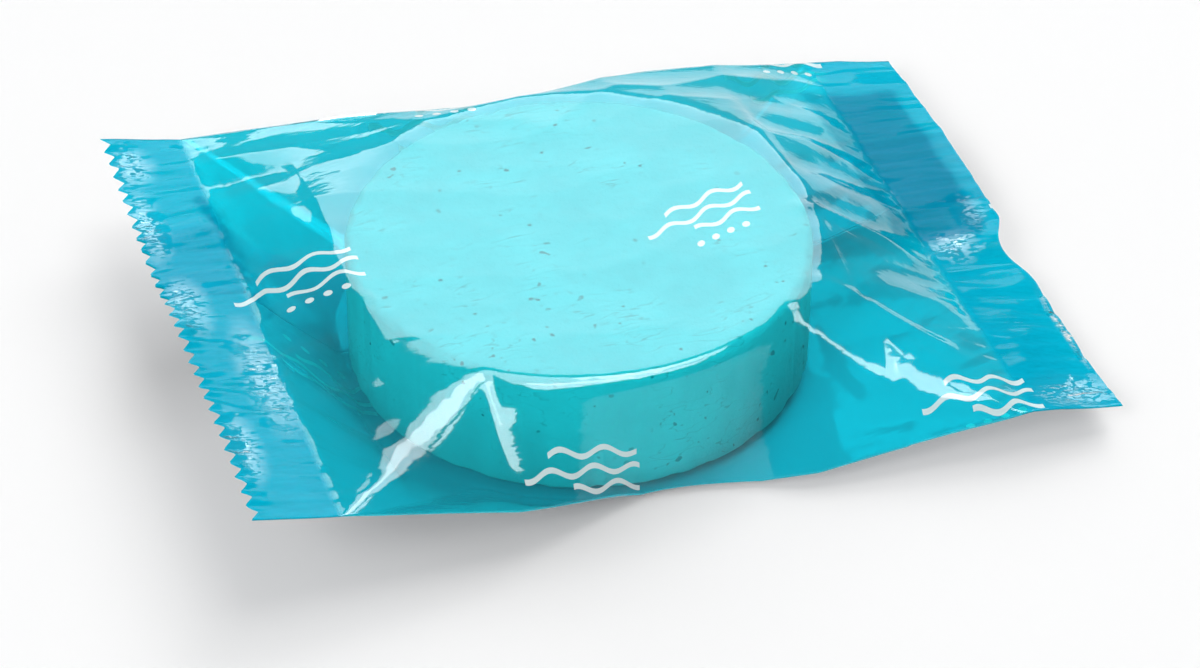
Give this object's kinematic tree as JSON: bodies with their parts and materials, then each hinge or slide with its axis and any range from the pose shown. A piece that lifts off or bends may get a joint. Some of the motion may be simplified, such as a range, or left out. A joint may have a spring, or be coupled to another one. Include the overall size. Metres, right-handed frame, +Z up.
{
  "type": "wrapped pool tablet",
  "caption": "Round pressed water-care tablet sealed in a see-through film pouch with crimped ends and a folded back seam.",
  "frame": {"origin": "on the tablet's axis, at the level of the surface that the pouch lies on", "axes": "+X along the pouch from the toothed end to the straight end, +Y towards the back, +Z up along the tablet's axis"},
  "size_m": [0.1436, 0.1026, 0.0246],
  "materials": {
    "tablet": "matt pressed powder",
    "film": "glossy tinted plastic film"
  },
  "bodies": {
    "root": {"tablet": "tablet", "film_wrapper": "film"}
  },
  "joints": []
}
